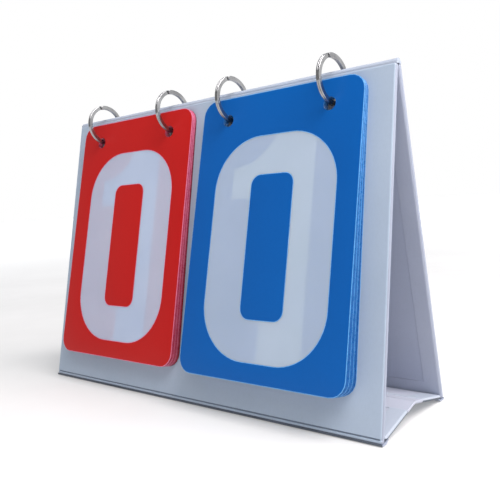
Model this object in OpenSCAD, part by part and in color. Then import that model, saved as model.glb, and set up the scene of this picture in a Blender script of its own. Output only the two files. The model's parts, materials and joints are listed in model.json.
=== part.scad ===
// Table-top flip scoreboard: a folding stand of wrapped boards, two sets of
// ten flip cards and four split key rings that carry the cards over the ridge.
// X runs across the width, the cards face -Y, and Z is up from the table.

/* [Stand] */
// Width of the panels and of the base
stand_w = 230; // [220:1:280]
// Height of the line on which the two panels turn
pivot_h = 162.4; // [150:0.1:200]
// Angle of each panel from upright
panel_tilt = 11.16; // [10:0.01:13]
// Thickness of a finished panel
panel_t = 2.6; // [2:0.1:3]
// Thickness of a finished base half
base_t = 2.0; // [1.6:0.1:2.2]
// Thickness of the covering sheet and of the lining sheet
sheet_t = 0.35; // [0.2:0.05:0.5]
// Width of the covering that is turned in round each edge
turn_in = 8.5; // [8:0.5:15]

/* [Base] */
// Height of the crease's underside above the table
crease_h = 7.6; // [6:0.1:9]
// Soft gap left between each base board and the crease
crease_gap = 7.8; // [7.6:0.1:10]

/* [Cards] */
// Width of a card
card_w = 98; // [90:1:100]
// Height of a card
card_h = 145; // [120:1:148]
// Radius of a card's corners
card_r = 8; // [4:0.5:12]
// Thickness of a card
card_t = 0.3; // [0.2:0.02:0.32]
// Distance from one card to the next at the rings
card_pitch = 0.34; // [0.34:0.01:0.36]
// Angle by which each red card stands out from the one behind it
red_fan = 0.14; // [0:0.01:0.16]
// Angle by which each blue card stands out from the one behind it
blue_fan = 0.28; // [0.16:0.01:0.28]
// Distance from the panels' turning line to the top of the cards
card_drop = 3.5; // [3.5:0.1:4]
// Distance from the top of a card to its two holes
hole_drop = 12.4; // [12:0.1:12.8]
// Distance between a card's two holes
hole_pitch = 62; // [50:1:70]
// Radius of a card's holes
card_hole_r = 3.3; // [3.2:0.05:3.5]
// Centre of the red set
red_x = -54.5; // [-56:0.5:-52]
// Centre of the blue set
blue_x = 53; // [52:0.5:56]

/* [Rings] */
// Outer radius of a ring
ring_r = 12.5; // [12.4:0.1:12.6]
// Width of the flat wire, measured outwards from the ring's centre
wire_w = 2.3; // [2:0.1:2.3]
// Thickness of one turn of the wire
wire_t = 0.95; // [0.8:0.05:1]
// How far the rings are swivelled from square
ring_yaw = -4; // [-4:0.5:0]
// Distance of a ring's centre in front of the front panel's inner face
ring_out = 4.6; // [4.6:0.1:4.8]
// Distance of a ring's centre below the panels' turning line
ring_drop = 3.7; // [3.6:0.1:3.8]

/* [Hidden] */
$fn = 64;

covering = "whitesmoke";
lining = "lavender";
greyboard = "darkgray";
card_count = 10;
strip_t = 0.42;
strip_gap = 0.03;
// The panels' edges stop this far from the turning line
panel_top = 0.3;
panel_len = (pivot_h - strip_t - strip_gap) / cos(panel_tilt);
front_hole_r = 3.3;
front_hole_drop = 14.7;
// The rear holes are larger, because the rear panel turns about the ridge
rear_hole_r = 4.3;
rear_hole_drop = 11.4;
first_gap = 0.25;
groove = 0.15;

// Turning line of a base half: on the panel's inner face, just above its foot
base_pivot_drop = 162.6;
base_y = base_pivot_drop * sin(panel_tilt);
base_z = pivot_h - base_pivot_drop * cos(panel_tilt);
crease_reach = norm([base_y, crease_h - base_z]);
base_rise = atan((crease_h - base_z) / base_y) + asin(base_t / crease_reach);
base_full = sqrt(pow(crease_reach, 2) - pow(base_t, 2));
base_start = 0.5;
base_end = base_full - crease_gap;

// The foremost point is the lower edge of the front blue card, and the rearmost one is
// the rear panel's foot: the origin lies under the middle between them
last_fan = (card_count - 1) * blue_fan;
last_out = panel_t + first_gap + (card_count - 1) * card_pitch;
card_low_out = last_out + card_h * sin(last_fan) + card_t / 2 * cos(last_fan);
card_low_drop = card_drop + card_h * cos(last_fan) - card_t / 2 * sin(last_fan);
front_reach = card_low_out * cos(panel_tilt) + card_low_drop * sin(panel_tilt);
rear_reach = panel_len * sin(panel_tilt) + panel_t * cos(panel_tilt);
shift_y = (front_reach - rear_reach) / 2;

hole_xs = [
    red_x - hole_pitch / 2, red_x + hole_pitch / 2,
    blue_x - hole_pitch / 2, blue_x + hole_pitch / 2
];

// Stands the children over the origin, turned half round if they are the rear ones
module placed(rear = false) {
    translate([0, shift_y, 0])
        rotate([0, 0, rear ? 180 : 0])
            children();
}

// Places children in a panel's frame: its inner face is the plane y = 0, its foot
// points down -Z and its outer face is towards -Y
module on_panel(rear = false) {
    placed(rear)
        translate([0, 0, pivot_h])
            rotate([-panel_tilt, 0, 0])
                children();
}

// Places children in a base half's frame: +Y runs to the crease and z = 0 is its top
module on_base(rear = false) {
    placed(rear)
        translate([0, -base_y, base_z])
            rotate([base_rise, 0, 0])
                children();
}

// A box centred across the width, from one YZ corner to the opposite one
module slab(w, from, to) {
    translate([-w / 2, from[0], from[1]])
        cube([w, to[0] - from[0], to[1] - from[1]]);
}

// Holes for the four rings through a panel
module ring_holes(r, drop, xs) {
    for (x = xs)
        translate([x, 0, -drop])
            rotate([90, 0, 0])
                cylinder(r = r, h = 20, center = true);
}

// Greyboard of a panel
module panel_core(r, drop, xs) {
    difference() {
        slab(stand_w - 2 * sheet_t,
            [-panel_t + sheet_t, -panel_len + sheet_t], [-sheet_t, -panel_top - sheet_t]);
        ring_holes(r, drop, xs);
    }
}

// Covering of a panel: its outer face, its edges and the turned-in border
module panel_cover(r, drop, xs) {
    difference() {
        slab(stand_w, [-panel_t, -panel_len], [0, -panel_top]);
        slab(stand_w - 2 * sheet_t,
            [-panel_t + sheet_t, -panel_len + sheet_t], [-sheet_t, -panel_top - sheet_t]);
        slab(stand_w - 2 * turn_in,
            [-2 * sheet_t, -panel_len + turn_in], [1, -panel_top - turn_in]);
        ring_holes(r, drop, xs);
    }
}

// Lining of a panel, inside the turned-in border
module panel_liner(r, drop, xs) {
    difference() {
        slab(stand_w - 2 * turn_in,
            [-sheet_t, -panel_len + turn_in], [0, -panel_top - turn_in]);
        ring_holes(r, drop, xs);
    }
}

// Board of a base half
module base_core() {
    slab(stand_w - 2 * sheet_t,
        [base_start + sheet_t, -base_t + sheet_t], [base_end - sheet_t, -sheet_t]);
}

// Covering of a base half, turned in on its top at the two ends
module base_cover() {
    difference() {
        slab(stand_w, [base_start, -base_t], [base_end, 0]);
        slab(stand_w - 2 * sheet_t,
            [base_start + sheet_t, -base_t + sheet_t], [base_end - sheet_t, -sheet_t]);
        slab(stand_w - 2 * turn_in,
            [base_start + sheet_t, -2 * sheet_t], [base_end - sheet_t, 1]);
    }
}

// Lining on the top of a base half
module base_liner() {
    slab(stand_w - 2 * turn_in,
        [base_start + sheet_t, -sheet_t], [base_end - sheet_t, 0]);
}

// Extrudes an outline in YZ across the width
module across(w) {
    translate([-w / 2, 0, 0])
        rotate([90, 0, 90])
            linear_extrude(w)
                children();
}

// A point of a panel's frame as seen from the panels' turning line, in YZ
function panel_at(y, z) = [
    y * cos(panel_tilt) + z * sin(panel_tilt), z * cos(panel_tilt) - y * sin(panel_tilt)
];

// Soft covering over the ridge, standing on the top edges of the two panels
module ridge_strip() {
    foot_drop = panel_top - strip_gap;
    foot_out = panel_at(-panel_t, -foot_drop);
    foot_in = panel_at(-panel_t + strip_t, -foot_drop);
    top_z = 2.2;
    flat_y = 0.6;
    translate([0, 0, pivot_h])
        across(stand_w)
            polygon([
                foot_out, [-flat_y, top_z], [flat_y, top_z], [-foot_out[0], foot_out[1]],
                [-foot_in[0], foot_in[1]], [flat_y - 0.15, top_z - strip_t],
                [-flat_y + 0.15, top_z - strip_t], foot_in
            ]);
}

// Soft covering under a panel's foot: its flat is what the stand rests on
module foot_strip() {
    inner_y = panel_len * sin(panel_tilt);
    outer_y = inner_y + panel_t * cos(panel_tilt);
    rise = panel_t * sin(panel_tilt);
    across(stand_w)
        polygon([
            [-outer_y + 0.2, 0], [-inner_y + 2.4, 0], [-inner_y + 2.4, strip_t],
            [-inner_y, strip_t], [-outer_y + 0.2, strip_t + rise - 0.05]
        ]);
}

// Soft covering that joins the two base boards and rises to the crease
module crease() {
    end_y = base_y - base_end * cos(base_rise);
    end_z = base_z + base_end * sin(base_rise);
    low_y = end_y - base_t * sin(base_rise);
    low_z = end_z - base_t * cos(base_rise);
    across(stand_w)
        polygon([
            [-end_y + 0.15, end_z - sheet_t], [0, crease_h + base_t / cos(base_rise) - sheet_t],
            [end_y - 0.15, end_z - sheet_t], [low_y - 0.1, low_z + 0.2],
            [0, crease_h], [-low_y + 0.1, low_z + 0.2]
        ]);
}

// Split ring: two turns of flat wire, with the line between them as a groove
module split_ring(x) {
    on_panel()
        translate([x, -ring_out, -ring_drop])
            rotate([0, 0, ring_yaw])
                rotate([0, 90, 0])
                    rotate_extrude($fn = 96)
                        translate([ring_r - wire_w, 0])
                            polygon([
                                [0, -wire_t], [wire_w, -wire_t],
                                [wire_w, -groove / 2], [wire_w - groove, 0],
                                [wire_w, groove / 2], [wire_w, wire_t],
                                [0, wire_t], [0, groove / 2],
                                [groove, 0], [0, -groove / 2]
                            ]);
}

// Rectangle with round corners, hanging from the middle of its top edge
module round_rect(w, h, r) {
    translate([-w / 2 + r, -h])
        square([w - 2 * r, h]);
    translate([-w / 2, -h + r])
        square([w, h - 2 * r]);
    for (x = [-w / 2 + r, w / 2 - r], y = [-r, r - h])
        translate([x, y])
            circle(r);
}

// One card of a set, counted from the panel outwards
module card(x, place, fan) {
    out = panel_t + first_gap + place * card_pitch;
    on_panel()
        translate([x, -out, -card_drop])
            rotate([-place * fan, 0, 0])
                rotate([90, 0, 0])
                    linear_extrude(card_t, center = true)
                        difference() {
                            round_rect(card_w, card_h, card_r);
                            for (side = [-1, 1])
                                translate([side * hole_pitch / 2, -hole_drop])
                                    circle(card_hole_r);
                        }
}

// The 0 card is at the front of its set and the 9 card is against the panel
module red_card(number) {
    color("firebrick")
        card(red_x, card_count - 1 - number, red_fan);
}

module blue_card(number) {
    color("royalblue")
        card(blue_x, card_count - 1 - number, blue_fan);
}

module front_core() {
    color(greyboard)
        on_panel()
            panel_core(front_hole_r, front_hole_drop, hole_xs);
}

module front_cover() {
    color(covering)
        on_panel()
            panel_cover(front_hole_r, front_hole_drop, hole_xs);
}

module front_liner() {
    color(lining)
        on_panel()
            panel_liner(front_hole_r, front_hole_drop, hole_xs);
}

module rear_core() {
    color(greyboard)
        on_panel(rear = true)
            panel_core(rear_hole_r, rear_hole_drop, -hole_xs);
}

module rear_cover() {
    color(covering)
        on_panel(rear = true)
            panel_cover(rear_hole_r, rear_hole_drop, -hole_xs);
}

module rear_liner() {
    color(lining)
        on_panel(rear = true)
            panel_liner(rear_hole_r, rear_hole_drop, -hole_xs);
}

module base_front_core() {
    color(greyboard)
        on_base()
            base_core();
}

module base_front_cover() {
    color(covering)
        on_base()
            base_cover();
}

module base_front_liner() {
    color(lining)
        on_base()
            base_liner();
}

module base_rear_core() {
    color(greyboard)
        on_base(rear = true)
            base_core();
}

module base_rear_cover() {
    color(covering)
        on_base(rear = true)
            base_cover();
}

module base_rear_liner() {
    color(lining)
        on_base(rear = true)
            base_liner();
}

module apex_strip() {
    color(covering)
        placed()
            ridge_strip();
}

module front_fold_strip() {
    color(covering)
        placed()
            foot_strip();
}

module crease_strip() {
    color(covering)
        placed()
            crease();
}

module rear_fold_strip() {
    color(covering)
        placed(rear = true)
            foot_strip();
}

module ring(number) {
    color("silver")
        split_ring(hole_xs[number - 1]);
}

front_core();
front_cover();
front_liner();
rear_core();
rear_cover();
rear_liner();
base_front_core();
base_front_cover();
base_front_liner();
base_rear_core();
base_rear_cover();
base_rear_liner();
apex_strip();
front_fold_strip();
crease_strip();
rear_fold_strip();
ring(1);  // ring_1
ring(2);  // ring_2
ring(3);  // ring_3
ring(4);  // ring_4
red_card(0);  // red_card_0
red_card(1);  // red_card_1
red_card(2);  // red_card_2
red_card(3);  // red_card_3
red_card(4);  // red_card_4
red_card(5);  // red_card_5
red_card(6);  // red_card_6
red_card(7);  // red_card_7
red_card(8);  // red_card_8
red_card(9);  // red_card_9
blue_card(0);  // blue_card_0
blue_card(1);  // blue_card_1
blue_card(2);  // blue_card_2
blue_card(3);  // blue_card_3
blue_card(4);  // blue_card_4
blue_card(5);  // blue_card_5
blue_card(6);  // blue_card_6
blue_card(7);  // blue_card_7
blue_card(8);  // blue_card_8
blue_card(9);  // blue_card_9
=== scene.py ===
"""Looks of the flip scoreboard: wrapped boards, printed plastic cards and split rings,
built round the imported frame. Lengths are in metres, and MM turns millimetres into them."""

import json
import math

import bmesh
import bpy
import numpy as np
from mathutils import Matrix, Vector, noise


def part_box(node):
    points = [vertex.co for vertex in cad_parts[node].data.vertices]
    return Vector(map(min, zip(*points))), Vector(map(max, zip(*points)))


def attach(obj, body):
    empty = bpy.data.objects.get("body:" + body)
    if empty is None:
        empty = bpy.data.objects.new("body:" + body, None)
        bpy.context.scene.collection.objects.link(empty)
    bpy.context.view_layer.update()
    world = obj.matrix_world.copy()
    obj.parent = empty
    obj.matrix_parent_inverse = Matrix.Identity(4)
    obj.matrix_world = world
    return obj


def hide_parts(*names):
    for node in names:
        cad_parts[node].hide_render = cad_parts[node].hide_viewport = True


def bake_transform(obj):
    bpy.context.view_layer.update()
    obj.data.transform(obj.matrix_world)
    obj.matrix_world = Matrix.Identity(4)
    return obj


MM = 0.001
PANEL_WRAP = 1.15 * MM   # rounding of a wrapped panel's edges
BASE_WRAP = 0.9 * MM     # rounding of a wrapped base board's edges
CORNER_R = 1.3 * MM      # rounding of a board's four corners
SHEET = 0.35 * MM        # thickness of the covering and of the lining
TURN_IN = 8.5 * MM       # covering turned in on a panel's inner face
PUNCH_LIP = 0.25 * MM    # rounded lip round a punched hole
RIM = 0.32 * MM          # bare plastic round the print of the first card
THIN_RIM = 0.14 * MM     # the same on the others
CARD_R = 8 * MM          # rounding of a card's corners
NUMERAL_W = 73 * MM
NUMERAL_H = {"red": 113.4 * MM, "blue": 112.0 * MM}
SIDE_STROKE = 23.6 * MM
BAR_STROKE = 20 * MM
NUMERAL_LOW = {"red": 5.7 * MM, "blue": 7.0 * MM}    # a numeral's centre below its card's
NUMERAL_ASIDE = {"red": 0.8 * MM, "blue": 1.2 * MM}  # and to the right of it
WIRE_W = 2.3 * MM
WIRE_T = 0.93 * MM
STEP_AT = 17             # degrees from a ring's top towards the cards
STEP_SPAN = 12           # degrees over which the wire steps across

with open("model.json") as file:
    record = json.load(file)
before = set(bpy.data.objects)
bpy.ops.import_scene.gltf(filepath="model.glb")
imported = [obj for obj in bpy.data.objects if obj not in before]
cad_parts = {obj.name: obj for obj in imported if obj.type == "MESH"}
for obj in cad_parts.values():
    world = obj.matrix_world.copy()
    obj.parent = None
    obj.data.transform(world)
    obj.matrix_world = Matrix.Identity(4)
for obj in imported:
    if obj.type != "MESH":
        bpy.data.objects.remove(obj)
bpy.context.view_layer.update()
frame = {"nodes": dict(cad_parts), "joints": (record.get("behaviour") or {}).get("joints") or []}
joints = {joint["name"]: joint for joint in frame["joints"]}


# ---------------------------------------------------------------- places, from the frame
def joint_point(name):
    return Vector(joints[name]["pos_m"])


def points_of(node, place=Matrix.Identity(4)):
    """A CAD node's points, as seen from a place."""
    seen = place.inverted()
    return np.array([seen @ v.co for v in frame["nodes"][node].data.vertices])


def span(node, place):
    """Lowest and highest corner of a CAD node in a place's own axes."""
    points = points_of(node, place)
    return Vector(points.min(0)), Vector(points.max(0))


RING_NAMES = ["ring_1", "ring_2", "ring_3", "ring_4"]


def hole_centres(node, place):
    """X and Z of the four ring holes, seen in a panel's own axes, with their radius."""
    margin = 2 * MM        # what lies within this of an edge belongs to the edge
    top_band = 30 * MM     # the holes lie within this of the top edge
    reach = 6 * MM         # and their rims within this of their ring's centre
    points = points_of(node, place)
    low, high = points.min(0), points.max(0)
    inside = points[(points[:, 2] > high[2] - top_band) & (points[:, 2] < high[2] - margin)]
    inside = inside[(inside[:, 0] > low[0] + margin) & (inside[:, 0] < high[0] - margin)]
    front = inside[inside[:, 1] < low[1] + 0.1 * MM]
    found = []
    for ring in RING_NAMES:
        x = joint_point(ring + "_spin").x * (1 if place is FRONT else -1)
        near = front[abs(front[:, 0] - x) < reach]
        middle = (near.min(0) + near.max(0)) / 2
        found.append((middle[0], middle[2], (near[:, 0].max() - near[:, 0].min()) / 2))
    return found


RIDGE = joint_point("stand_fold")
FRONT_FOOT = joint_point("base_front_fold")
REAR_FOOT = joint_point("base_rear_fold")
TILT = math.atan2(RIDGE.y - FRONT_FOOT.y, RIDGE.z - FRONT_FOOT.z)
HALF_TURN = Matrix.Rotation(math.pi, 4, "Z")
# A panel's own axes: X across, -Y out of its outer face, and Z up along it from the ridge
FRONT = Matrix.Translation(RIDGE) @ Matrix.Rotation(-TILT, 4, "X")
REAR = Matrix.Translation(RIDGE) @ HALF_TURN @ Matrix.Rotation(-TILT, 4, "X")


def base_place(node, foot, turn):
    """A base half's own axes: Y runs to the crease and Z = 0 is its top."""
    points = points_of(node, Matrix.Translation(foot) @ turn)
    start, end = points[points[:, 1].argmin()], points[points[:, 2].argmax()]
    rise = math.atan2(end[2] - start[2], end[1] - start[1])
    return Matrix.Translation(foot) @ turn @ Matrix.Rotation(rise, 4, "X")


BASE_FRONT = base_place("base_front_cover", FRONT_FOOT, Matrix.Identity(4))
BASE_REAR = base_place("base_rear_cover", REAR_FOOT, HALF_TURN)


def card_place(node):
    """A card's own axes: X across, Y up from the middle of its top edge, Z out of its print."""
    points = points_of(node, FRONT)
    top = points[points[:, 2] > points[:, 2].max() - 0.5 * MM].mean(0)
    low = points[points[:, 2] < points[:, 2].min() + 0.5 * MM].mean(0)
    fan = math.atan2(top[1] - low[1], top[2] - low[2])
    middle = (points[:, 0].min() + points[:, 0].max()) / 2
    top_z = points[:, 2].max()
    return (FRONT @ Matrix.Translation((middle, top[1], top_z))
            @ Matrix.Rotation(math.pi / 2 - fan, 4, "X"))


# ---------------------------------------------------------------- materials
class Nodes:
    """A new material's node tree, with short calls for the nodes used below."""

    def __init__(self, name, **values):
        self.material = bpy.data.materials.new(name)
        self.material.use_nodes = True
        self.tree = self.material.node_tree
        self.shader = self.tree.nodes["Principled BSDF"]
        for socket, value in values.items():
            self.shader.inputs[socket.replace("_", " ")].default_value = value
        self.where = self.tree.nodes.new("ShaderNodeTexCoord").outputs["Object"]

    def add(self, kind, **settings):
        node = self.tree.nodes.new("ShaderNode" + kind)
        for name, value in settings.items():
            setattr(node, name, value)
        return node

    def stretched(self, across, along, up):
        """Object coordinates with their own scale on each axis."""
        node = self.add("Mapping")
        node.inputs["Scale"].default_value = (across, along, up)
        self.tree.links.new(self.where, node.inputs["Vector"])
        return node.outputs["Vector"]

    def noise(self, scale, detail=3.0, rough=0.5, where=None):
        node = self.add("TexNoise")
        node.inputs["Scale"].default_value = scale
        node.inputs["Detail"].default_value = detail
        node.inputs["Roughness"].default_value = rough
        self.tree.links.new(where or self.where, node.inputs["Vector"])
        return node.outputs["Fac"]

    def between(self, factor, low, high, start=0.35, end=0.65):
        """A colour or a grey between two, as the factor goes from start to end."""
        node = self.add("ValToRGB")
        ramp = node.color_ramp
        ramp.elements[0].position, ramp.elements[1].position = start, end
        ramp.elements[0].color, ramp.elements[1].color = colour(low), colour(high)
        self.tree.links.new(factor, node.inputs["Fac"])
        return node.outputs["Color"]

    def mixed(self, factor, first, second, blend="MIX"):
        node = self.add("Mix", data_type="RGBA", blend_type=blend)
        for socket, value in ((node.inputs["Factor"], factor), (node.inputs[6], first),
                              (node.inputs[7], second)):
            if isinstance(value, bpy.types.NodeSocket):
                self.tree.links.new(value, socket)
            else:
                socket.default_value = value if socket.name == "Factor" else colour(value)
        return node.outputs[2]

    def bump(self, height, strength, distance):
        node = self.add("Bump")
        node.inputs["Strength"].default_value = strength
        node.inputs["Distance"].default_value = distance
        self.tree.links.new(height, node.inputs["Height"])
        self.tree.links.new(node.outputs["Normal"], self.shader.inputs["Normal"])

    def set(self, socket, output):
        self.tree.links.new(output, self.shader.inputs[socket])


def colour(value):
    if isinstance(value, (int, float)):
        return (value, value, value, 1)
    return (*value, 1) if len(value) == 3 else value


def paper(name, low, high, rough_low, rough_high, grain, grain_depth, coat=0.0):
    """Coated paper: faint cloudy shade, fine fibre grain and uneven gloss."""
    nodes = Nodes(name, Specular_IOR_Level=0.45, Coat_Weight=coat, Coat_Roughness=0.35)
    cloud = nodes.noise(22, 4, 0.55)
    fibre = nodes.noise(grain, 5, 0.6, nodes.stretched(1, 1, 0.45))
    shade = nodes.between(cloud, low, high, 0.3, 0.7)
    speck = nodes.between(fibre, 0.965, 1.0, 0.3, 0.55)
    nodes.set("Base Color", nodes.mixed(1.0, shade, speck, "MULTIPLY"))
    nodes.set("Roughness", nodes.between(nodes.noise(60, 3), rough_low, rough_high))
    nodes.bump(fibre, 0.35, grain_depth)
    return nodes.material


def greyboard():
    """Raw grey pulp board with dark and pale specks, seen in the punched holes."""
    nodes = Nodes("greyboard", Roughness=0.92, Specular_IOR_Level=0.2)
    pulp = nodes.noise(900, 6, 0.7)
    specks = nodes.between(nodes.noise(2600, 2, 0.5), 0.62, 1.0, 0.36, 0.44)
    shade = nodes.between(pulp, (0.30, 0.29, 0.27), (0.50, 0.48, 0.45))
    nodes.set("Base Color", nodes.mixed(1.0, shade, specks, "MULTIPLY"))
    nodes.bump(pulp, 0.8, 0.08 * MM)
    return nodes.material


def print_ink(name, deep, bright, rough=0.30):
    """Solid screen-printed ink on smooth plastic: nearly even, with a slight orange peel."""
    nodes = Nodes(name, Specular_IOR_Level=0.22, IOR=1.48)
    patchy = nodes.noise(14, 3, 0.5)
    fine = nodes.noise(900, 3, 0.5)
    shade = nodes.between(patchy, deep, bright, 0.15, 0.85)
    nodes.set("Base Color", nodes.mixed(1.0, shade, nodes.between(fine, 0.97, 1.0), "MULTIPLY"))
    nodes.set("Roughness", nodes.between(nodes.noise(40, 2), rough - 0.02, rough + 0.02, 0.2, 0.8))
    nodes.bump(fine, 0.05, 0.02 * MM)
    return nodes.material


def bare_plastic(name, low, high, see_through):
    """The sheet where nothing is printed: frosted, so that what lies behind shows faintly."""
    nodes = Nodes(name, Specular_IOR_Level=0.5, IOR=1.49, Alpha=1 - see_through)
    frost = nodes.noise(500, 4, 0.6)
    cloud = nodes.noise(30, 3, 0.5)
    nodes.set("Base Color", nodes.between(cloud, low, high, 0.25, 0.75))
    nodes.set("Roughness", nodes.between(frost, 0.30, 0.42))
    nodes.bump(frost, 0.10, 0.03 * MM)
    return nodes.material


def sheet_edge(name, low, high):
    """The cut edge of a tinted translucent sheet, which gathers light."""
    nodes = Nodes(name, Specular_IOR_Level=0.6, IOR=1.49)
    nodes.set("Base Color", nodes.between(nodes.noise(150, 3), low, high))
    nodes.set("Roughness", nodes.between(nodes.noise(700, 3), 0.22, 0.40))
    return nodes.material


def plated_steel():
    """Nickel-plated spring wire: polished, with fine lengthwise drawing marks."""
    nodes = Nodes("ring_steel", Metallic=1.0)
    marks = nodes.noise(1500, 4, 0.6, nodes.stretched(3, 1, 1))
    cloud = nodes.noise(160, 3, 0.5)
    nodes.set("Base Color", nodes.between(cloud, (0.30, 0.30, 0.31), (0.46, 0.46, 0.47)))
    nodes.set("Roughness", nodes.between(marks, 0.07, 0.16))
    nodes.bump(marks, 0.10, 0.02 * MM)
    return nodes.material


def covering(name, low, high):
    return paper(name, low, high, 0.42, 0.52, 1100, 0.05 * MM, coat=0.08)


def lining(name, low, high):
    return paper(name, low, high, 0.55, 0.70, 1500, 0.06 * MM)


COVERING = covering("covering", (0.385, 0.467, 0.585), (0.415, 0.497, 0.615))
# Painted shade: the covering painted darker, for the panels' rounded edges, which the side light
# would make bright, and for the fold strips at the feet
DARKENED_RIM_COVERING = covering("covering_at_edges_painted_darker", (0.31, 0.345, 0.44), (0.34, 0.375, 0.47))
INNER_COVERING = covering("covering_turned_in", (0.41, 0.445, 0.555), (0.44, 0.475, 0.585))
BASE_COVERING = covering("covering_of_base", (0.385, 0.43, 0.51), (0.415, 0.46, 0.54))
# Painted shade: the covering painted darker for the strip over the ridge
SHADED_RIDGE_COVERING = covering("covering_over_ridge_painted_shade", (0.38, 0.43, 0.53), (0.42, 0.47, 0.57))
# Painted shade: a dark covering for the underside edges and sides of the base halves and for the
# underside of the fold strips next to the panels' feet
UNDERSIDE_SHADE = paper("covering_painted_underside_shade", (0.06, 0.075, 0.10), (0.12, 0.14, 0.18), 0.60, 0.75,
                900, 0.06 * MM)
# Painted shade: a dark covering laid in the pressed line along a panel's foot, for the shade in the
# groove
SEAM_SHADE = paper("covering_painted_seam_shade", (0.13, 0.165, 0.225), (0.17, 0.21, 0.275), 0.50, 0.65,
                900, 0.06 * MM)
LINING = lining("lining", (0.385, 0.42, 0.535), (0.415, 0.45, 0.565))
BASE_LINING = lining("lining_of_base", (0.41, 0.432, 0.518), (0.44, 0.462, 0.548))
GREYBOARD = greyboard()
STEEL = plated_steel()
RED_INK = print_ink("red_ink", (0.475, 0.009, 0.009), (0.52, 0.013, 0.011))
BLUE_INK = print_ink("blue_ink", (0.0025, 0.094, 0.38), (0.0035, 0.11, 0.42))
RED_BACK = print_ink("red_ink_seen_through", (0.50, 0.06, 0.06), (0.56, 0.08, 0.08), 0.42)
BLUE_BACK = print_ink("blue_ink_seen_through", (0.03, 0.15, 0.46), (0.04, 0.18, 0.52), 0.42)
RED_BARE = bare_plastic("red_set_bare_plastic", (0.64, 0.74, 0.94), (0.70, 0.80, 0.99), 0.53)
BLUE_BARE = bare_plastic("blue_set_bare_plastic", (0.64, 0.76, 0.90), (0.70, 0.81, 0.96), 0.60)
# The three edge shades are painted light and shade: pale for edges that gather light, mid and deep
# for edges in the shaded gaps between the fanned cards
RED_EDGES = (sheet_edge("red_sheet_edge_pale", (0.62, 0.17, 0.30), (0.69, 0.21, 0.35)),
             sheet_edge("red_sheet_edge", (0.46, 0.055, 0.125), (0.52, 0.085, 0.165)),
             sheet_edge("red_sheet_edge_deep", (0.18, 0.010, 0.025), (0.23, 0.016, 0.04)))
BLUE_EDGES = (sheet_edge("blue_sheet_edge_pale", (0.085, 0.32, 0.67), (0.115, 0.38, 0.75)),
              sheet_edge("blue_sheet_edge", (0.018, 0.14, 0.42), (0.028, 0.18, 0.50)),
              sheet_edge("blue_sheet_edge_deep", (0.004, 0.08, 0.28), (0.006, 0.10, 0.34)))
# Which of the three painted shades of light and shade the edge of each card has, from the 0 card to
# the 9 card
EDGE_SHADES = {"red": (0, 1, 1, 0, 1, 1, 0, 1, 2, 2), "blue": (0, 1, 1, 0, 1, 1, 0, 1, 2, 0)}


# ---------------------------------------------------------------- mesh helpers
def made(name, bm, materials, body, place=None, replaced=(), sharp=35):
    """Turns a bmesh into a piece that rides on a body and stands for its CAD nodes."""
    bmesh.ops.recalc_face_normals(bm, faces=bm.faces)
    mesh = bpy.data.meshes.new(name)
    bm.to_mesh(mesh)
    bm.free()
    if place is not None:
        mesh.transform(place)
    for material in materials:
        mesh.materials.append(material)
    for face in mesh.polygons:
        face.use_smooth = True
    mesh.set_sharp_from_angle(angle=math.radians(sharp))
    piece = bpy.data.objects.new(name, mesh)
    bpy.context.scene.collection.objects.link(piece)
    if body:
        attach(piece, body)
    if replaced:
        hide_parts(*replaced)
    return piece


def ring_of(bm, points):
    return [bm.verts.new(point) for point in points]


def joined(bm, first, second, material=0, closed=True):
    """Quads between two rows of points of equal length."""
    count = len(first) if closed else len(first) - 1
    for i in range(count):
        j = (i + 1) % len(first)
        bm.faces.new((first[i], first[j], second[j], second[i])).material_index = material


def filled(bm, loops, normal, material=0):
    """A flat face bounded by the first loop, with the others as holes in it."""
    edges = []
    for loop in loops:
        for a, b in zip(loop, loop[1:] + loop[:1]):
            edges.append(bm.edges.get((a, b)) or bm.edges.new((a, b)))
    faces = bmesh.ops.triangle_fill(bm, use_beauty=True, use_dissolve=False,
                                    edges=edges, normal=normal)["geom"]
    for face in faces:
        if isinstance(face, bmesh.types.BMFace):
            face.material_index = material


def circle(x, y, radius, count=32):
    turns = [2 * math.pi * i / count for i in range(count)]
    return [(x + radius * math.cos(a), y + radius * math.sin(a)) for a in turns]


def rounded(corners, steps=10):
    """A closed outline from corners (x, y) or (x, y, radius), each turned by an arc."""
    outline = []
    for i, corner in enumerate(corners):
        here = Vector(corner[:2])
        radius = corner[2] if len(corner) > 2 else 0
        if not radius:
            outline.append(tuple(here))
            continue
        back = (Vector(corners[i - 1][:2]) - here).normalized()
        onward = (Vector(corners[(i + 1) % len(corners)][:2]) - here).normalized()
        half = back.angle(onward) / 2
        centre = here + (back + onward).normalized() * radius / math.sin(half)
        start = here + back * radius / math.tan(half) - centre
        sweep = math.pi - 2 * half
        side = 1 if back.x * onward.y - back.y * onward.x < 0 else -1
        count = max(2, round(steps * sweep / (math.pi / 2)))
        for k in range(count + 1):
            turn = Matrix.Rotation(side * sweep * k / count, 2)
            outline.append(tuple(centre + turn @ start))
    return outline


def grown(outline, distance):
    """The outline moved outwards, or inwards where the distance is negative."""
    points = [Vector(p) for p in outline]
    area = sum(a.x * b.y - b.x * a.y for a, b in zip(points, points[1:] + points[:1]))
    side = distance if area > 0 else -distance
    moved = []
    for i, here in enumerate(points):
        along_in = (here - points[i - 1]).normalized()
        along_out = (points[(i + 1) % len(points)] - here).normalized()
        out_in = Vector((along_in.y, -along_in.x))
        out_out = Vector((along_out.y, -along_out.x))
        middle = (out_in + out_out).normalized()
        moved.append(tuple(here + middle * side / max(0.5, middle.dot(out_in))))
    return moved


def rectangle(low, high, radius):
    (x0, y0), (x1, y1) = low, high
    return rounded([(x0, y0, radius), (x1, y0, radius), (x1, y1, radius), (x0, y1, radius)], 5)


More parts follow.
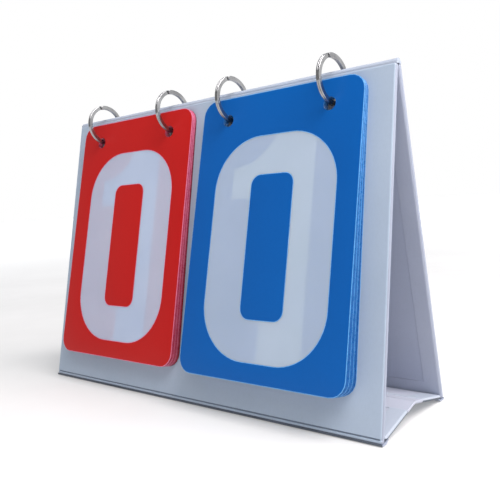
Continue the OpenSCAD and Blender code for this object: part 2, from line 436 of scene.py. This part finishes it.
def along_top(outline, bites, crossed, way, steps=16):
    """The rectangle with its top edge led round the circles that cross the level "crossed":
    over them where way is 1, under them where it is -1, and straight on, with as many
    points, where it is 0."""
    top = max(y for x, y in outline)
    at = next(i for i in range(1, len(outline)) if outline[i][0] < outline[i - 1][0] - 20 * MM)
    added = []
    for x, y, radius in sorted(bites, reverse=True):
        start = math.asin((crossed - y) / radius)
        sweep = math.pi - 2 * start if way >= 0 else -math.pi - 2 * start
        for i in range(steps + 1):
            turn = start + sweep * i / steps
            level = y + radius * math.sin(turn) if way else top
            added.append((x + radius * math.cos(turn), level))
    return outline[:at] + added + outline[at:]


def crossing(holes, level):
    """The holes, as (x, z, radius), that lie across a level."""
    return [hole for hole in holes if abs(hole[1] - level) < hole[2]]


# ---------------------------------------------------------------- wrapped boards
# Levels above a panel's foot, in millimetres: the pressed line's two sides, each with a row
# next to it where the face is flat again. The band between the two sides gets painted shade,
# a dark covering for the shade in the groove.
SEAM_LEVELS = (1.38, 1.5, 2.2, 2.32)
# The second slot is painted shade: a dark covering on a base half's underside edges and sides
FACE, SHADED_UNDERSIDE, SHADED_LINE, EDGE, INNER = range(5)   # material slots of a wrapped board


def wrapped_board(name, place, node, body, replaced, turn_in, wrap, holes=(), seam=0.0):
    """A board wrapped in covering: the outer face, rounded edges and the turned-in border.

    turn_in is the border's width at the ends and along the sides, and wrap is the edges'
    rounding. holes are (x, z, radius), and seam is the depth of the line that is pressed
    along a panel's outer face at its foot. A board without one is a base half, and it gets
    painted shade, a dark covering, round the edges of its underside and on its sides."""
    low, high = span(node, place)
    outer, inner = low.y, high.y
    foot_levels = [low.z + level * MM for level in SEAM_LEVELS] if seam else []
    border = high.z - turn_in[1]
    bites = crossing(holes, border)

    def loop(inset_x, inset_z, y, corner, way=0, ease=0.0):
        """The board's outline at a depth, with points at its sides where the seam meets it."""
        x0, x1 = low.x + inset_x, high.x - inset_x
        z0, z1 = low.z + inset_z, high.z - inset_z
        outline = rectangle((x0, z0), (x1, z1), corner)
        wider = [(x, z, radius + ease) for x, z, radius in bites]
        outline = along_top(outline, wider, border + ease, way) if bites else outline
        right = next(i for i, p in enumerate(outline) if p[1] > (z0 + z1) / 2)
        lift = max(0, z0 + corner + 0.03 * MM - foot_levels[0]) if seam else 0
        levels = [level + lift for level in foot_levels]
        outline = outline[:right] + [(x1, level) for level in levels] + outline[right:]
        outline += [(x0, level) for level in reversed(levels)]
        points = []
        for x, z in outline:
            depth = y
            if seam and z in foot_levels[1:3] and y < (outer + inner) / 2:
                depth += seam * (1 - (y - outer) / wrap) if y < outer + wrap else 0
            points.append((x, depth, z))
        return points

    bm = bmesh.new()
    steps = [math.pi / 2 * i / 5 for i in range(6)]
    flat = wrap + 0.12 * MM   # a row just inside the rounding keeps the wide faces flat
    rows = [ring_of(bm, loop(flat, flat, outer, 0.05 * MM))]
    for a in steps:
        inset = wrap * (1 - math.sin(a))
        y = outer + wrap * (1 - math.cos(a))
        rows.append(ring_of(bm, loop(inset, inset, y, CORNER_R - inset)))
    for a in steps:
        inset = wrap * (1 - math.cos(a))
        y = inner - wrap * (1 - math.sin(a))
        rows.append(ring_of(bm, loop(inset, inset, y, CORNER_R - inset)))
    rows.append(ring_of(bm, loop(flat, flat, inner, 0.05 * MM)))
    cut = 0.12 * MM
    rows.append(ring_of(bm, loop(turn_in[0] - cut, turn_in[1] - cut, inner, 0.2 * MM, 1, cut)))
    rows.append(ring_of(bm, loop(turn_in[0], turn_in[1], inner, 0.1 * MM, 1)))
    # On a base half the rows in the second range, its underside's rounded edges and its sides, get
    # the painted shade
    rim, under_shaded = range(3, 10), range(1, 7)   # rows of faces, counted from the outer face
    for k, (first, second) in enumerate(zip(rows, rows[1:])):
        # On a panel the rounded edges take the covering painted darker, a painted shade
        if seam:
            finish = FACE if k < rim.start else EDGE if k in rim else INNER
        else:
            finish = SHADED_UNDERSIDE if k in under_shaded else FACE
        joined(bm, first, second, finish)

    edge = rows[0]
    if seam:
        edge = add_seam(bm, edge, foot_levels, outer, seam)
    punched = []
    for x, z, radius in holes:
        lip = [(p[0], outer, p[1]) for p in circle(x, z, radius + PUNCH_LIP)]
        wall = [(p[0], outer + PUNCH_LIP, p[1]) for p in circle(x, z, radius)]
        lip, wall = ring_of(bm, lip), ring_of(bm, wall)
        joined(bm, lip, wall)
        punched.append(lip)
    filled(bm, [edge] + punched, (0, -1, 0))
    finishes = [COVERING if seam else BASE_COVERING, UNDERSIDE_SHADE, SEAM_SHADE, DARKENED_RIM_COVERING,
                INNER_COVERING]
    piece = made(name, bm, finishes, body, place, replaced)
    sheet = piece.modifiers.new("Sheet", "SOLIDIFY")
    sheet.thickness, sheet.offset = SHEET * 0.8, -1
    return piece


def add_seam(bm, edge, levels, outer, depth):
    """Rows of points across the foot of a board's outer face, pressed in along its seam."""
    count = 40
    rows = []
    for k, level in enumerate(levels):
        ends = [v for v in edge if abs(v.co.z - level) < 1e-7]
        left, right = sorted(ends, key=lambda v: v.co.x)
        row = [left]
        for i in range(1, count):
            x = left.co.x + (right.co.x - left.co.x) * i / count
            uneven = 0.75 + 0.5 * noise.noise((x * 60, k * 0.4, 0))
            y = outer + (depth * uneven if k in (1, 2) else 0)
            row.append(bm.verts.new((x, y, level)))
        rows.append(row + [right])
    # The band between the line's two sides takes the painted shade
    for k, (first, second) in enumerate(zip(rows, rows[1:])):
        joined(bm, first, second, SHADED_LINE if k == 1 else FACE, closed=False)
    low_side = [v for v in edge if v.co.z <= levels[0] + 1e-7]
    start = edge.index(rows[0][0])
    ordered = edge[start:] + edge[:start]
    below = [v for v in ordered if v in set(low_side)]
    filled(bm, [below + rows[0][1:-1][::-1]], (0, -1, 0))
    above = [v for v in edge if v.co.z >= levels[-1] - 1e-7]
    first = above.index(rows[-1][-1])
    above = above[first:] + above[:first]
    return above + rows[-1][1:-1]


def lining_sheet(name, place, node, body, finish, holes=(), trim=0.0):
    """The lining inside the turned-in border, a little below it, with soft edges."""
    low, high = span(node, place)
    low.z += trim
    high.z -= trim
    sunk = 0.07 * MM
    gap, soft = 0.06 * MM, 0.08 * MM
    bites = crossing(holes, high.z - gap)
    holes = [hole for hole in holes if hole not in bites]
    bm = bmesh.new()
    rows = []
    for inset, y in ((gap + soft, low.y), (gap, low.y + soft), (gap, high.y - sunk - soft),
                     (gap + soft, high.y - sunk)):
        outline = rectangle((low.x + inset, low.z + inset), (high.x - inset, high.z - inset),
                            0.2 * MM)
        wider = [(x, z, radius + inset - gap) for x, z, radius in bites]
        outline = along_top(outline, wider, high.z - inset, -1) if bites else outline
        rows.append(ring_of(bm, [(x, y, z) for x, z in outline]))
    for first, second in zip(rows, rows[1:]):
        joined(bm, first, second)
    under, over = [], []
    for x, z, radius in holes:
        a = ring_of(bm, [(p[0], low.y, p[1]) for p in circle(x, z, radius)])
        b = ring_of(bm, [(p[0], high.y - sunk - soft, p[1]) for p in circle(x, z, radius)])
        c = ring_of(bm, [(p[0], high.y - sunk, p[1]) for p in circle(x, z, radius + soft)])
        joined(bm, a, b)
        joined(bm, b, c)
        under.append(a)
        over.append(c)
    filled(bm, [rows[0]] + under, (0, -1, 0))
    filled(bm, [rows[-1]] + over, (0, 1, 0))
    return made(name, bm, [finish], body, place, (node,))


def eased_board(name, place, node, body, holes=()):
    """The greyboard inside a covering, with its corners and edges a little worn by cutting."""
    low, high = span(node, place)
    bm = bmesh.new()
    rows = []
    for inset, depth in ((0.55, 0.0), (0.30, 0.10), (0.10, 0.30), (0.0, 0.55)):
        outline = rectangle((low.x + inset * MM, low.z + inset * MM),
                            (high.x - inset * MM, high.z - inset * MM), (1.4 - inset) * MM)
        rows.append([(x, low.y + depth * MM, z) for x, z in outline])
    rows += [[(x, low.y + high.y - y, z) for x, y, z in row] for row in reversed(rows)]
    rows = [ring_of(bm, row) for row in rows]
    for first, second in zip(rows, rows[1:]):
        joined(bm, first, second)
    near, far = [], []
    for x, z, radius in holes:
        ends = [ring_of(bm, [(p[0], y, p[1]) for p in circle(x, z, radius)]) for y in (low.y, high.y)]
        joined(bm, *ends)
        near.append(ends[0])
        far.append(ends[1])
    filled(bm, [rows[0]] + near, (0, -1, 0))
    filled(bm, [rows[-1]] + far, (0, 1, 0))
    return made(name, bm, [GREYBOARD], body, place, (node,))


AS_BOARD = Matrix.Rotation(math.pi / 2, 4, "X")   # a base half seen as a panel, underside outwards
for side, place, body in (("front", FRONT, "front_panel"), ("rear", REAR, "rear_panel")):
    punched = hole_centres(side + "_cover", place)
    wrapped_board(side + "_covering", place, side + "_cover", body, (side + "_cover",),
                  (TURN_IN, TURN_IN), PANEL_WRAP, punched, seam=0.26 * MM)
    lining_sheet(side + "_lining", place, side + "_liner", body, LINING, punched)
    eased_board(side + "_board", place, side + "_core", body, punched)
for side, place in (("base_front", BASE_FRONT @ AS_BOARD), ("base_rear", BASE_REAR @ AS_BOARD)):
    wrapped_board(side + "_covering", place, side + "_cover", side, (side + "_cover",),
                  (TURN_IN, 1.3 * MM), BASE_WRAP)
    lining_sheet(side + "_lining", place, side + "_liner", side, BASE_LINING, trim=1.0 * MM)
    eased_board(side + "_board", place, side + "_core", side)


# ---------------------------------------------------------------- soft strips
def smoothed(line, steps=5):
    """A smooth line through the points of a rough one."""
    points = [2 * line[0] - line[1]] + line + [2 * line[-1] - line[-2]]
    smooth = []
    for a, b, c, d in zip(points, points[1:], points[2:], points[3:]):
        for k in range(steps):
            t = k / steps
            smooth.append(0.5 * (2 * b + (c - a) * t + (2 * a - 5 * b + 4 * c - d) * t * t
                                 + (3 * b - a - 3 * c + d) * t ** 3))
    return smooth + [line[-1]]


def across(place, x, y, z):
    """Y and Z in the row frame of a point of a panel's or base half's own axes."""
    point = place @ Vector((x, y, z))
    return Vector((point.y, point.z))


def soft_strip(name, line, thickness, node, uneven, finish, shaded_share=0.0, body=None, jut=0.0,
               plug=None):
    """A strip of covering across the whole width, along a line in YZ, a little uneven.

    The argument after finish is the share of the line, from its start, whose underside gets
    painted shade, a dark covering.
    plug is a point in YZ that the covering is tucked towards at the strip's two ends."""
    low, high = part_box(node)
    line = smoothed(line)
    way = 1 if line[-1].x > line[0].x else -1
    count = 90
    bm = bmesh.new()
    sections = []
    soft_end = 0.25 * MM
    ends = [low.x - jut, low.x - jut + soft_end, high.x - soft_end, high.x]
    inner = [ends[1] + (ends[2] - ends[1]) * i / count for i in range(1, count)]
    if plug:
        inner = [ends[1] + 0.5 * MM] + inner + [ends[2] - 0.5 * MM]
    for x in ends[:2] + inner + ends[2:]:
        thick = thickness * (0.45 if x in (ends[0], ends[3]) else 1)
        upper, lower = [], []
        for i, here in enumerate(line):
            along = line[min(i + 1, len(line) - 1)] - line[max(i - 1, 0)]
            out = Vector((-along.y, along.x)).normalized() * way
            free = math.sin(math.pi * i / (len(line) - 1))
            wave = noise.noise((x * 45, i * 0.12, 3)) + 0.5 * noise.noise((x * 190, i * 0.2, 8))
            moved = here + out * wave * uneven * free
            upper.append((x, *(moved + out * thick / 2)))
            under = moved - out * thick / 2
            if plug and x in ends:
                under = under.lerp(plug, 0.8)
            lower.append((x, *under))
        sections.append(ring_of(bm, upper + lower[::-1]))
    points = len(line)
    # Faces on the underside, from the line's start, get the painted shade
    under_shaded = round(shaded_share * points)
    for first, second in zip(sections, sections[1:]):
        for i in range(2 * points):
            j = (i + 1) % (2 * points)
            face = bm.faces.new((first[i], first[j], second[j], second[i]))
            face.material_index = 1 if i >= 2 * points - 1 - under_shaded and shaded_share else 0
    for cap in (sections[0], sections[-1]):
        for i in range(points - 1):
            bm.faces.new((cap[i], cap[i + 1], cap[2 * points - 2 - i], cap[2 * points - 1 - i]))
    return made(name, bm, [finish, UNDERSIDE_SHADE], body, None, (node,), sharp=50)


def mirrored(line, middle_y):
    return [Vector((2 * middle_y - p.x, p.y)) for p in reversed(line)]


panel_low, panel_high = span("front_cover", FRONT)
base_low, base_high = span("base_front_cover", BASE_FRONT)
half_ridge = [across(FRONT, 0, -1.9 * MM, panel_high.z - 0.6 * MM),
              across(FRONT, 0, -2.0 * MM, panel_high.z + 0.35 * MM),
              Vector((RIDGE.y - 1.55 * MM, RIDGE.z + 1.05 * MM)),
              Vector((RIDGE.y - 0.8 * MM, RIDGE.z + 1.75 * MM))]
ridge_top = [Vector((RIDGE.y, RIDGE.z + 1.97 * MM))]
# The apex strip takes the covering painted darker, a painted shade
apex = soft_strip("apex_covering", half_ridge + ridge_top + mirrored(half_ridge, RIDGE.y),
                  0.4 * MM, "apex_strip", 0.16 * MM, SHADED_RIDGE_COVERING,
                  plug=Vector((RIDGE.y, RIDGE.z - 0.2 * MM)))
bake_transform(apex)

foot = across(FRONT, 0, panel_low.y, panel_low.z)
inner_foot = across(FRONT, 0, 0, panel_low.z)
front_fold = [Vector((foot.x + 0.25 * MM, foot.y + 0.15 * MM)),
              Vector((foot.x + 0.55 * MM, 0.24 * MM)),
              Vector((inner_foot.x + 0.8 * MM, 0.21 * MM)),
              Vector((inner_foot.x + 1.8 * MM, 0.32 * MM)),
              across(BASE_FRONT, 0, base_low.y + 2.2 * MM, base_low.z + 0.1 * MM)]
# Each fold strip gets painted shade on the underside of the half of its line next to the panel
for name, line, panel, base, shift in (
        ("front_fold", front_fold, "front_panel", "base_front", 0.4 * MM),
        ("rear_fold", mirrored(front_fold, RIDGE.y)[::-1], "rear_panel", "base_rear", 0.0)):
    # The fold strips take the covering painted darker, a painted shade
    fold = soft_strip(name + "_covering", line, 0.42 * MM, name + "_strip", 0.08 * MM,
                      DARKENED_RIM_COVERING, shaded_share=0.5, jut=shift)
    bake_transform(fold)

board_end = across(BASE_FRONT, 0, base_high.y, (base_low.z + base_high.z) / 2)
crease_top = Vector((RIDGE.y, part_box("crease_strip")[1].z - 0.75 * MM))
half_crease = [board_end + Vector((-0.5 * MM, -0.15 * MM)),
               board_end + Vector((1.0 * MM, 0.15 * MM)),
               board_end.lerp(crease_top, 0.6), crease_top]
# The covering folds at the crease, so each half goes with its own base board
for side, line in (("front", half_crease), ("rear", mirrored(half_crease, RIDGE.y))):
    soft_strip("crease_covering_" + side, line, 1.35 * MM, "crease_strip", 0.10 * MM,
               BASE_LINING, body="base_" + side)


# ---------------------------------------------------------------- cards
def block_numeral(number, numeral_h):
    """Outer outline and inner outlines of a block numeral, in metres round its centre.

    The shapes are drawn in millimetres, as corners (x, y) or (x, y, radius)."""
    w, h = NUMERAL_W / 2 / MM, numeral_h / 2 / MM
    s, b = w - SIDE_STROKE / MM, h - BAR_STROKE / MM   # inner half width and half height
    big, small, half_bar = 27, 5.5, BAR_STROKE / MM / 2
    waist = [(w, 8, 8), (w - 6, 0, 3), (w, -8, 8)]
    left_waist = [(-x, -y, r) for x, y, r in waist]
    upper = [(-s, half_bar, small), (s, half_bar, small), (s, b, small), (-s, b, small)]
    lower = [(-s, -b, small), (s, -b, small), (s, -half_bar, small), (-s, -half_bar, small)]
    six = ([(-w, h, big), (-w, -h, big), (w, -h, big), (w, 12.5, 22), (-s, 12.5), (-s, b, small),
            (s, b, small), (s, 24), (w, 24), (w, h, big)],
           [[(-s, -b, small), (s, -b, small), (s, -8.5, small), (-s, -8.5, small)]])
    shapes = {
        0: ([(-w, -h, big), (w, -h, big), (w, h, big), (-w, h, big)],
            [[(-s, -b, small), (s, -b, small), (s, b, small), (-s, b, small)]]),
        2: ([(-w, -h), (w, -h), (w, -b), (-6, -b, 2), (w, 2, 16), (w, h, big), (-w, h, big),
             (-w, 20), (-s, 20), (-s, b, small), (s, b, small), (s, 9, 8), (-w, -32, 6)], []),
        3: ([(-w, -h, big), (w, -h, big), waist[2], waist[1], waist[0], (w, h, big),
             (-w, h, big), (-w, 22), (-s, 22), (-s, b, small), (s, b, small),
             (s, half_bar, small), (-14, half_bar), (-14, -half_bar), (s, -half_bar, small),
             (s, -b, small), (-s, -b, small), (-s, -22), (-w, -22)], []),
        4: ([(4, -h), (28.5, -h), (28.5, -34), (w, -34), (w, -13), (28.5, -13), (28.5, h),
             (-3, h), (-w, -13, 2), (-w, -34), (4, -34)],
            [[(-13.5, -13, 1), (4, -13), (4, 26, 1)]]),
        5: ([(-w, -h, big), (w, -h, big), (w, 14.5, big), (-s, 14.5), (-s, b), (34, b), (34, h),
             (-w, h), (-w, -6.5), (s, -6.5, small), (s, -b, small), (-s, -b, small),
             (-s, -24), (-w, -24)], []),
        6: six,
        7: ([(-18, -h), (8, -h), (w, b + 2, 5), (w, h), (-w, h), (-w, b), (10, b, 1)], []),
        8: ([(-w, -h, big), (w, -h, big), waist[2], waist[1], waist[0], (w, h, big),
             (-w, h, big), left_waist[2], left_waist[1], left_waist[0]], [upper, lower]),
        9: ([(-x, -y, *r) for x, y, *r in six[0]],
            [[(-x, -y, r) for x, y, r in six[1][0]]]),
    }
    if number == 1:
        left, stem, tip, right, flag_low = -25.5, -1.5, 1.3, 23.8, 24.2
        centre_y, radius = 70.1, 29.6   # of the arc that hollows out the flag's upper side
        turns = [math.radians(a) for a in range(0, 61, 5)]
        arc = [(left + radius * math.sin(a), centre_y - radius * math.cos(a)) for a in turns]
        outer = [(left, flag_low), (stem, flag_low), (stem, -h), (right, -h), (right, h), (tip, h)]
        outer += [p for p in reversed(arc) if p[1] < h - 0.5]
        inner = []
    else:
        outer, inner = rounded(shapes[number][0], 14), [rounded(c, 6) for c in shapes[number][1]]
    return [[(x * MM, y * MM) for x, y in outline] for outline in [outer] + inner]


INK, BARE, SHEET_EDGE, BACK, PALE_RIM, PUNCHED = range(6)   # material slots of a card


def printed_card(name, node, body, number, numeral, ink, bare, back, edges, shade, slot):
    """A punched plastic sheet, printed all over its front except for the numeral.

    numeral is its height and how far its centre lies below and to the right of the card's.
    shade is which of the three edge materials the sheet's own edge has."""
    tall, low_by, aside = numeral
    place = card_place(node)
    low, high = span(node, place)
    half = (high.z - low.z) / 2
    width, height = high.x - low.x, high.y - low.y
    punch = hole_spots(node, place)
    centre_y = -height / 2 - low_by
    soft = 0.07 * MM
    rim = RIM if number == 0 else THIN_RIM
    bm = bmesh.new()

    def row(outline, z, right=0.0, up=0.0):
        return ring_of(bm, [(x + right, y + up, z) for x, y in outline])

    outline = rectangle((-width / 2, -height), (width / 2, 0), CARD_R)
    rows = [row(grown(outline, -rim), half), row(grown(outline, -soft), half - 0.3 * soft),
            row(outline, half - soft), row(outline, soft - half),
            row(grown(outline, -soft), -half)]
    for k, (first, second) in enumerate(zip(rows, rows[1:])):
        joined(bm, first, second, PALE_RIM if k == 0 and number == 0 else SHEET_EDGE)
    front_loops, back_loops = [rows[0]], [rows[-1]]
    for x, y, radius in punch:
        rows = [row(circle(x, y, radius + soft), half), row(circle(x, y, radius), half - soft),
                row(circle(x, y, radius), soft - half), row(circle(x, y, radius + soft), -half)]
        for first, second in zip(rows, rows[1:]):
            joined(bm, first, second, PUNCHED)
        front_loops.append(rows[0])
        back_loops.append(rows[-1])
    shapes = block_numeral(number, tall)
    window, back_window = [], []
    for i, shape in enumerate(shapes):
        printed = row(grown(shape, rim if i == 0 else -rim), half, aside, centre_y)
        bare_row = row(shape, half - 0.02 * MM, aside, centre_y)
        behind = row(shape, -half, aside, centre_y)
        joined(bm, printed, bare_row, PALE_RIM)
        window.append(bare_row)
        back_window.append(behind)
        if i == 0:
            front_loops.append(printed)
            back_loops.append(behind)
        else:
            filled(bm, [printed], (0, 0, 1), INK)
            filled(bm, [behind], (0, 0, -1), BACK)
    filled(bm, front_loops, (0, 0, 1), INK)
    filled(bm, back_loops, (0, 0, -1), BACK)
    filled(bm, window, (0, 0, 1), BARE)
    filled(bm, back_window, (0, 0, -1), BARE)
    # edges[0], the pale painted light, also goes on the first card's rim and round the numeral's
    # window; edges[1], a painted shade, goes on the punched holes
    finish = [ink, bare, edges[shade], back, edges[0], edges[1]]
    return made(name, bm, finish, body, place, (node,))


def hole_spots(node, place):
    """The punched holes of a card in its own axes: (x, y, radius)."""
    margin, band = 2 * MM, 25 * MM         # the holes lie between these below the top edge
    nearest, farthest = 15 * MM, 40 * MM   # and between these to each side of the middle
    points = points_of(node, place)
    inside = points[(points[:, 1] > -band) & (points[:, 1] < -margin)]
    found = []
    for side in (-1, 1):
        aside = side * inside[:, 0]
        near = inside[(aside > nearest) & (aside < farthest)]
        x = (near[:, 0].min() + near[:, 0].max()) / 2
        y = (near[:, 1].min() + near[:, 1].max()) / 2
        found.append((x, y, (near[:, 1].max() - near[:, 1].min()) / 2))
    return found


for colour_name, finish in (("red", (RED_INK, RED_BARE, RED_BACK, RED_EDGES)),
                            ("blue", (BLUE_INK, BLUE_BARE, BLUE_BACK, BLUE_EDGES))):
    numeral = (NUMERAL_H[colour_name], NUMERAL_LOW[colour_name], NUMERAL_ASIDE[colour_name])
    for number in range(10):
        printed_card(f"{colour_name}_score_{number}", f"{colour_name}_card_{number}",
                     f"{colour_name}_{number}", number, numeral, *finish,
                     EDGE_SHADES[colour_name][number], colour_name + "_plastic")


# ---------------------------------------------------------------- split rings
def split_ring(name, node, body):
    """One flat wire wound twice, stepping from one turn to the other near the top."""
    joint = joints[node + "_spin"]
    centre, axis = Vector(joint["pos_m"]), Vector(joint["axis"]).normalized()
    up = (Vector((0, 0, 1)) - axis * axis.z).normalized()
    ahead = axis.cross(up)
    points = points_of(node)
    offsets = points - np.array(centre)
    radius = np.linalg.norm(offsets - np.outer(offsets @ axis, axis), axis=1).max()
    middle = radius - WIRE_W / 2
    half_w, half_t, fillet = WIRE_W / 2, WIRE_T / 2, 0.28 * MM
    section = rounded([(-half_w, -half_t, fillet), (half_w, -half_t, fillet),
                       (half_w, half_t, fillet), (-half_w, half_t, fillet)], 4)
    first_turn = math.radians(STEP_AT)
    step = STEP_SPAN / 2 / 360
    count = 240
    bm = bmesh.new()
    rings = []
    end_at = 0.6 * step   # the two ends lie close to where the wire steps across
    apart = WIRE_T + 0.04 * MM   # from the middle of one turn's wire to the other's
    for i in range(count + 1):
        turn = end_at + (2 - 2 * end_at) * i / count
        rise = min(1, max(0, (turn - 1 + step) / (2 * step)))
        shift = (rise * rise * (3 - 2 * rise) - 0.5) * apart
        angle = first_turn + 2 * math.pi * turn
        out = up * math.cos(angle) + ahead * math.sin(angle)
        end = 0.7 if i in (0, count) else 1
        base = centre + out * middle + axis * shift
        rings.append(ring_of(bm, [base + out * x * end + axis * y * end for x, y in section]))
    for first, second in zip(rings, rings[1:]):
        joined(bm, first, second)
    bm.faces.new(rings[0])
    bm.faces.new(rings[-1])
    return made(name, bm, [STEEL], body, None, (node,), sharp=50)


for number, ring in enumerate(RING_NAMES, 1):
    split_ring(f"split_ring_{number}", ring, f"key_ring_{number}")


# ---------------------------------------------------------------- studio
DIM_SIDE = (-0.5, -0.85, 0.15)   # the way to the room's dim side


def soft_light(name, place, target, size, power, tint):
    light = bpy.data.lights.new(name, "AREA")
    light.shape, light.size, light.size_y = "RECTANGLE", size[0], size[1]
    light.energy, light.color = power, tint
    lamp = bpy.data.objects.new(name, light)
    lamp.location = place
    lamp.rotation_euler = (Vector(target) - Vector(place)).to_track_quat("-Z", "Y").to_euler()
    bpy.context.scene.collection.objects.link(lamp)


def studio():
    """A white room, dimmer above and to the front left, a pale floor and soft lights."""
    world = bpy.data.worlds.new("studio")
    bpy.context.scene.world = world
    world.use_nodes = True
    tree = world.node_tree
    where = tree.nodes.new("ShaderNodeTexCoord").outputs["Generated"]

    def shade_by(vector, stops):
        """A grey that depends on how far a direction points along a vector."""
        along = tree.nodes.new("ShaderNodeVectorMath")
        along.operation = "DOT_PRODUCT"
        along.inputs[1].default_value = vector
        ramp = tree.nodes.new("ShaderNodeValToRGB")
        elements = ramp.color_ramp.elements
        elements[0].position, elements[1].position = stops[0][0], stops[-1][0]
        elements[0].color, elements[1].color = colour(stops[0][1]), colour(stops[-1][1])
        for position, shade in stops[1:-1]:
            elements.new(position).color = colour(shade)
        tree.links.new(where, along.inputs[0])
        tree.links.new(along.outputs["Value"], ramp.inputs["Fac"])
        return ramp.outputs["Color"]

    both = tree.nodes.new("ShaderNodeMix")
    both.data_type, both.blend_type = "RGBA", "MULTIPLY"
    both.inputs["Factor"].default_value = 1.0
    above = shade_by((0, 0, 1), ((0.45, 1.0), (0.56, (0.30, 0.32, 0.36)),
                                 (0.84, (0.34, 0.36, 0.40)), (1.0, (0.95, 0.97, 1.0))))
    tree.links.new(above, both.inputs[6])
    tree.links.new(shade_by(DIM_SIDE, ((0.30, 1.0), (0.75, 0.30))), both.inputs[7])
    # The camera itself sees a plain white backdrop; the shading is for the light only
    seen = tree.nodes.new("ShaderNodeMix")
    seen.data_type = "RGBA"
    looking = tree.nodes.new("ShaderNodeLightPath").outputs["Is Camera Ray"]
    tree.links.new(looking, seen.inputs["Factor"])
    tree.links.new(both.outputs[2], seen.inputs[6])
    seen.inputs[7].default_value = colour(1.0)
    tree.links.new(seen.outputs[2], tree.nodes["Background"].inputs["Color"])
    tree.nodes["Background"].inputs["Strength"].default_value = 1.0

    nodes = Nodes("studio_floor", Specular_IOR_Level=0.2, Emission_Color=(1, 1, 1, 1))
    nodes.set("Base Color", nodes.between(nodes.noise(6, 3), 0.58, 0.62))
    far = nodes.add("TexGradient", gradient_type="SPHERICAL")
    nodes.tree.links.new(nodes.stretched(0.5, 0.5, 0.5), far.inputs["Vector"])
    nodes.set("Emission Strength", nodes.between(far.outputs["Fac"], 0.75, 0.20, 0.15, 0.85))
    nodes.set("Roughness", nodes.between(nodes.noise(40, 3), 0.6, 0.75))
    bm = bmesh.new()
    count, reach, level = 12, 12.0, -0.0002   # the floor is a hair below the feet
    rows = [[bm.verts.new((reach * (2 * i / count - 1), reach * (2 * j / count - 1), level))
             for i in range(count + 1)] for j in range(count + 1)]
    for first, second in zip(rows, rows[1:]):
        joined(bm, first, second, closed=False)
    made("studio_floor", bm, [nodes.material], None)

    soft_light("key", (0.28, -0.34, 0.62), (0, 0, 0.12), (0.4, 0.3), 1.15, (1.0, 0.99, 0.97))
    soft_light("right", (0.75, 0.02, 1.05), (0, 0, 0.03), (1.0, 0.8), 20.5, (1.0, 0.95, 0.93))


def camera():
    """The photo's camera, as solved from the corners of the stand."""
    data = bpy.data.cameras.new("camera")
    data.lens, data.sensor_width = 43.1, 36
    data.shift_y = -0.04
    data.clip_start, data.clip_end = 0.01, 20
    eye = bpy.data.objects.new("camera", data)
    right = Vector((0.78137, 0.62124, -0.05934)).normalized()
    back = Vector((0.62378, -0.78037, 0.04379))
    back = (back - right * back.dot(right)).normalized()
    up = back.cross(right)
    turned = Matrix((right, up, back)).transposed()
    stand = RIDGE + Vector((0.22802, -0.254642, -0.05879))
    eye.matrix_world = Matrix.Translation(stand) @ turned.to_4x4()
    bpy.context.scene.collection.objects.link(eye)
    bpy.context.scene.camera = eye


studio()
camera()
bpy.context.scene.view_settings.view_transform = "Standard"
